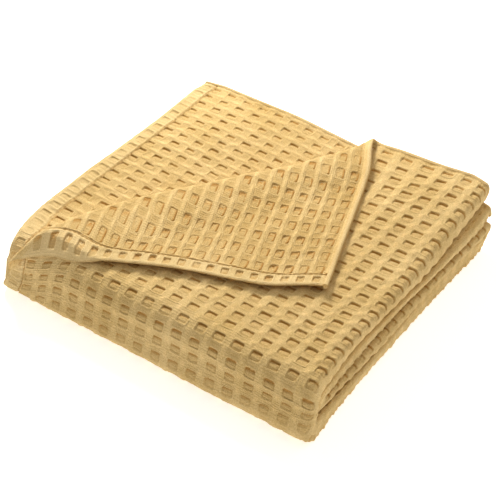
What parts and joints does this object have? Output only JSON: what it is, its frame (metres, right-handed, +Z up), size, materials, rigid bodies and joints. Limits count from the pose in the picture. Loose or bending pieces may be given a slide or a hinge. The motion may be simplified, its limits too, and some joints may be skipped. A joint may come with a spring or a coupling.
{
  "type": "folded throw blanket",
  "caption": "Waffle-weave cotton throw blanket folded into a thick rectangular stack with a rounded spine, hemmed edges and one corner of the top ply turned back.",
  "frame": {"origin": "centre of the folded footprint, on the surface that the blanket lies on", "axes": "+X along the spine, from the hemmed side to the folded side; +Y from the spine to the free ends; +Z up"},
  "size_m": [0.36, 0.337, 0.0702],
  "materials": {
    "woven_cloth": "matte",
    "hem_cloth": "matte"
  },
  "bodies": {
    "lower_half": {"lower_inner_first_ply": "woven_cloth", "lower_inner_second_ply": "woven_cloth", "lower_inner_third_ply": "woven_cloth", "lower_inner_fourth_ply": "woven_cloth", "lower_inner_outer_edge_fold": "woven_cloth", "lower_inner_inner_edge_fold": "woven_cloth", "lower_inner_middle_fold": "woven_cloth", "lower_inner_side_hems": "hem_cloth", "bottom_outer_ply": "woven_cloth", "bottom_second_ply": "woven_cloth", "bottom_third_ply": "woven_cloth", "bottom_fourth_ply": "woven_cloth", "bottom_outer_edge_fold": "woven_cloth", "bottom_inner_edge_fold": "woven_cloth", "bottom_middle_fold": "woven_cloth", "bottom_side_hems": "hem_cloth", "spine_cover": "woven_cloth", "spine_plies": "woven_cloth", "spine_edge_folds": "woven_cloth", "spine_middle_fold": "woven_cloth", "spine_side_hems": "hem_cloth", "inner_spine_plies": "woven_cloth", "inner_spine_edge_folds": "woven_cloth", "inner_spine_middle_fold": "woven_cloth", "inner_spine_side_hems": "hem_cloth", "back_fold_cover": "woven_cloth", "back_fold_plies": "woven_cloth", "back_fold_edge_folds": "woven_cloth", "back_fold_middle_fold": "woven_cloth", "back_fold_side_hems": "hem_cloth"},
    "upper_half": {"top_outer_ply": "woven_cloth", "top_second_ply": "woven_cloth", "top_third_ply": "woven_cloth", "top_fourth_ply": "woven_cloth", "top_outer_edge_fold": "woven_cloth", "top_inner_edge_fold": "woven_cloth", "top_middle_fold": "woven_cloth", "top_side_hem": "hem_cloth", "top_end_hems": "hem_cloth", "upper_inner_first_ply": "woven_cloth", "upper_inner_second_ply": "woven_cloth", "upper_inner_third_ply": "woven_cloth", "upper_inner_fourth_ply": "woven_cloth", "upper_inner_outer_edge_fold": "woven_cloth", "upper_inner_inner_edge_fold": "woven_cloth", "upper_inner_middle_fold": "woven_cloth", "upper_inner_side_hems": "hem_cloth", "upper_inner_end_hems": "hem_cloth", "flap_crease": "woven_cloth"},
    "corner_flap": {"flap_ply": "woven_cloth", "flap_side_hem": "hem_cloth", "flap_end_hem": "hem_cloth"}
  },
  "joints": [
    {"name": "spine_fold", "type": "hinge", "parent": "lower_half", "child": "upper_half", "pos_m": [0, -0.13523, 0.03327], "axis": [1, 0, 0], "range_deg": [0, 150], "deforming": ["spine_cover", "spine_plies", "spine_edge_folds", "spine_middle_fold", "spine_side_hems", "inner_spine_plies", "inner_spine_edge_folds", "inner_spine_middle_fold", "inner_spine_side_hems"]},
    {"name": "corner_fold", "type": "hinge", "parent": "upper_half", "child": "corner_flap", "pos_m": [-0.0655, 0.00775, 0.06955], "axis": [-0.5802, -0.8145, 0], "range_deg": [0, 175], "deforming": ["flap_crease"]}
  ]
}
